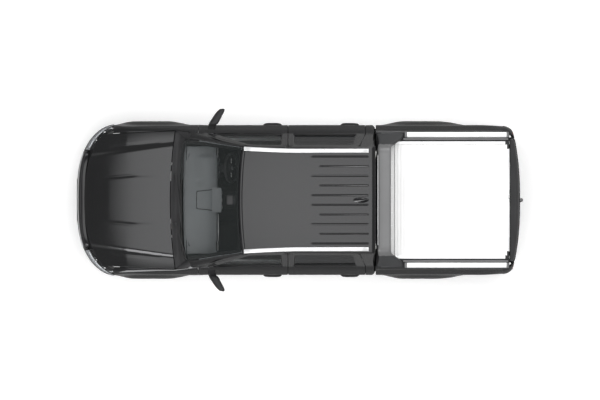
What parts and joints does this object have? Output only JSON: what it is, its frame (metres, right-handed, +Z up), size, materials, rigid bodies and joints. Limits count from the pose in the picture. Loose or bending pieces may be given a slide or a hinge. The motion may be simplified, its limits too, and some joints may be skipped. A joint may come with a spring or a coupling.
{
  "type": "double-cab pickup truck",
  "caption": "Double-cab pickup truck with opening doors, bonnet and tailgate, steered wheels, sports bar, roof rails and a slatted roll-up load cover.",
  "frame": {"origin": "on the ground, under the middle of the length over the nose and the tow ball, on the centre line", "axes": "+X rearward along the vehicle, +Y to its right, +Z up"},
  "size_m": [5.43, 2.2066, 1.882],
  "materials": {
    "frame_black": "satin black chassis paint",
    "cast_metal": "raw cast metal",
    "trim_black": "fine-grained moulded black plastic",
    "gloss_black": "gloss black plastic",
    "body_paint": "dark grey metallic under clear lacquer",
    "tinted_glass": "grey-green tinted glass",
    "lamp_clear": "clear lamp lens",
    "lamp_red": "red lamp lens",
    "bright_steel": "polished steel",
    "bar_grey": "satin grey powder coat",
    "satin_aluminium": "satin anodised",
    "brushed_aluminium": "pale satin slats",
    "cabin_plastic": "grained grey cabin plastic",
    "cabin_leather": "black leather",
    "seat_cloth": "dark grey woven cloth",
    "tyre_rubber": "matt black rubber",
    "rim_grey": "dark grey alloy"
  },
  "bodies": {
    "chassis": {"ladder_frame": "frame_black", "powertrain": "cast_metal", "front_suspension": "frame_black", "rear_axle": "frame_black", "fuel_tank": "trim_black", "spare_wheel": "tyre_rubber", "cab_shell": "body_paint", "engine_bay": "trim_black", "wheel_liners": "trim_black", "front_wings": "body_paint", "front_bumper": "body_paint", "grille": "gloss_black", "headlamps": "lamp_clear", "tail_lamps": "lamp_red", "cab_glass": "tinted_glass", "cargo_bed": "body_paint", "bed_sides": "body_paint", "rear_bumper": "trim_black", "tow_ball": "bright_steel", "sports_bar": "bar_grey", "bed_rails": "satin_aluminium", "roll_cover": "brushed_aluminium", "roof_rails": "satin_aluminium", "dashboard": "cabin_plastic", "steering_wheel": "cabin_leather", "front_seats": "seat_cloth", "rear_seat": "seat_cloth"},
    "bonnet": {"bonnet": "body_paint"},
    "tailgate": {"tailgate": "body_paint"},
    "front_left_door": {"door_front_left": "body_paint", "glass_front_left": "tinted_glass", "mirror_left": "gloss_black"},
    "front_right_door": {"door_front_right": "body_paint", "glass_front_right": "tinted_glass", "mirror_right": "gloss_black"},
    "rear_left_door": {"door_rear_left": "body_paint", "glass_rear_left": "tinted_glass"},
    "rear_right_door": {"door_rear_right": "body_paint", "glass_rear_right": "tinted_glass"},
    "left_upright": {"knuckle_left": "cast_metal"},
    "right_upright": {"knuckle_right": "cast_metal"},
    "front_left_wheel": {"tyre_front_left": "tyre_rubber", "rim_front_left": "rim_grey"},
    "front_right_wheel": {"tyre_front_right": "tyre_rubber", "rim_front_right": "rim_grey"},
    "rear_left_wheel": {"tyre_rear_left": "tyre_rubber", "rim_rear_left": "rim_grey"},
    "rear_right_wheel": {"tyre_rear_right": "tyre_rubber", "rim_rear_right": "rim_grey"}
  },
  "joints": [
    {"name": "bonnet_hinge", "type": "hinge", "parent": "chassis", "child": "bonnet", "pos_m": [-1.523, 0, 1.216], "axis": [0, 1, 0], "range_deg": [0, 50]},
    {"name": "tailgate_hinge", "type": "hinge", "parent": "chassis", "child": "tailgate", "pos_m": [2.562, 0, 0.835], "axis": [0, 1, 0], "range_deg": [0, 90]},
    {"name": "front_left_door_hinge", "type": "hinge", "parent": "chassis", "child": "front_left_door", "pos_m": [-1.226, -0.916, 0.9], "axis": [0, 0, -1], "range_deg": [0, 70]},
    {"name": "front_right_door_hinge", "type": "hinge", "parent": "chassis", "child": "front_right_door", "pos_m": [-1.226, 0.916, 0.9], "axis": [0, 0, 1], "range_deg": [0, 70]},
    {"name": "rear_left_door_hinge", "type": "hinge", "parent": "chassis", "child": "rear_left_door", "pos_m": [-0.136, -0.916, 0.9], "axis": [0, 0, -1], "range_deg": [0, 70]},
    {"name": "rear_right_door_hinge", "type": "hinge", "parent": "chassis", "child": "rear_right_door", "pos_m": [-0.136, 0.916, 0.9], "axis": [0, 0, 1], "range_deg": [0, 70]},
    {"name": "steer_left", "type": "hinge", "parent": "chassis", "child": "left_upright", "pos_m": [-1.815, -0.76, 0.394], "axis": [0, 0, 1], "range_deg": [-35, 35]},
    {"name": "steer_right", "type": "hinge", "parent": "chassis", "child": "right_upright", "pos_m": [-1.815, 0.76, 0.394], "axis": [0, 0, 1], "range_deg": [-35, 35]},
    {"name": "front_left_wheel_spin", "type": "hinge", "parent": "left_upright", "child": "front_left_wheel", "pos_m": [-1.815, -0.81, 0.394], "axis": [0, 1, 0], "continuous": true},
    {"name": "front_right_wheel_spin", "type": "hinge", "parent": "right_upright", "child": "front_right_wheel", "pos_m": [-1.815, 0.81, 0.394], "axis": [0, 1, 0], "continuous": true},
    {"name": "rear_left_wheel_spin", "type": "hinge", "parent": "chassis", "child": "rear_left_wheel", "pos_m": [1.455, -0.81, 0.394], "axis": [0, 1, 0], "continuous": true},
    {"name": "rear_right_wheel_spin", "type": "hinge", "parent": "chassis", "child": "rear_right_wheel", "pos_m": [1.455, 0.81, 0.394], "axis": [0, 1, 0], "continuous": true}
  ],
  "couplings": [
    {"joint": "steer_right", "follows": "steer_left", "ratio": 1}
  ]
}
